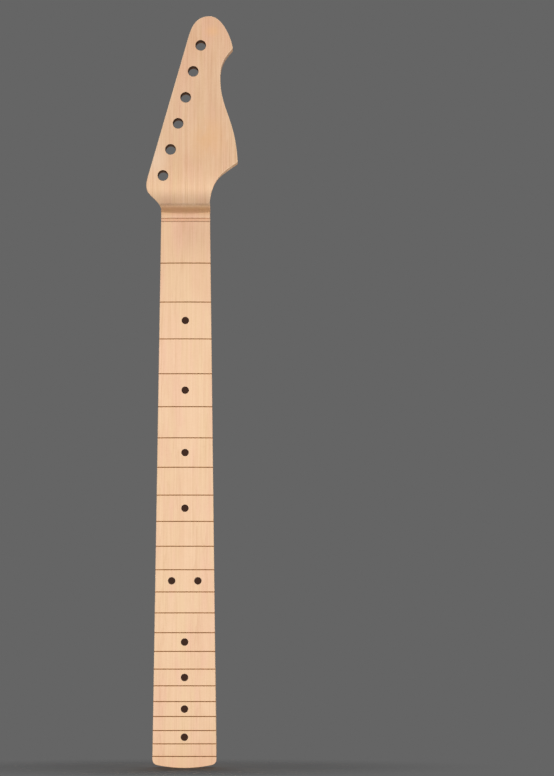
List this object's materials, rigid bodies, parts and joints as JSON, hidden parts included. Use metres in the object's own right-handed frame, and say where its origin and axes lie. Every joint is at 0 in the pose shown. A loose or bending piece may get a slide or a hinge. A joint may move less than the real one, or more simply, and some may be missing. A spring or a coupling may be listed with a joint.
{
  "type": "electric guitar neck",
  "caption": "Unfinished bolt-on electric guitar neck: maple shaft with an offset pointed headstock, slotted maple fretboard with black dots, and a truss rod adjusted from the heel.",
  "frame": {"origin": "centre of the four-screw pattern, on the flat back of the heel", "axes": "+Z along the neck towards the headstock's tip, +X towards the treble side, +Y out of the heel's back, so the fretboard faces -Y"},
  "size_m": [0.0803, 0.0254, 0.6603],
  "materials": {
    "shaft_maple": "raw sanded maple with fine straight grain",
    "board_maple": "raw sanded flat-sawn maple",
    "dot_black": "black inlay rod sanded flush",
    "plated_steel": "zinc plated, satin",
    "block_brass": "milled, satin",
    "sleeve_black": "heat-shrunk sleeve, matte"
  },
  "bodies": {
    "neck": {"neck_shaft": "shaft_maple", "fretboard": "board_maple", "face_dot_03": "dot_black", "face_dot_05": "dot_black", "face_dot_07": "dot_black", "face_dot_09": "dot_black", "face_dot_12_bass": "dot_black", "face_dot_12_treble": "dot_black", "face_dot_15": "dot_black", "face_dot_17": "dot_black", "face_dot_19": "dot_black", "face_dot_21": "dot_black", "side_dot_03": "dot_black", "side_dot_05": "dot_black", "side_dot_07": "dot_black", "side_dot_09": "dot_black", "side_dot_12_bass": "dot_black", "side_dot_12_treble": "dot_black", "side_dot_15": "dot_black", "side_dot_17": "dot_black", "side_dot_19": "dot_black", "side_dot_21": "dot_black", "truss_bar": "plated_steel", "truss_front_block": "block_brass", "truss_rear_block": "block_brass", "truss_sleeve": "sleeve_black"},
    "adjuster": {"truss_rod": "plated_steel", "truss_adjusting_nut": "plated_steel"}
  },
  "joints": [
    {"name": "truss_adjust", "type": "hinge", "parent": "neck", "child": "adjuster", "pos_m": [0, -0.0127, -0.0335], "axis": [0, 0, 1], "range_deg": [-270, 270]}
  ]
}
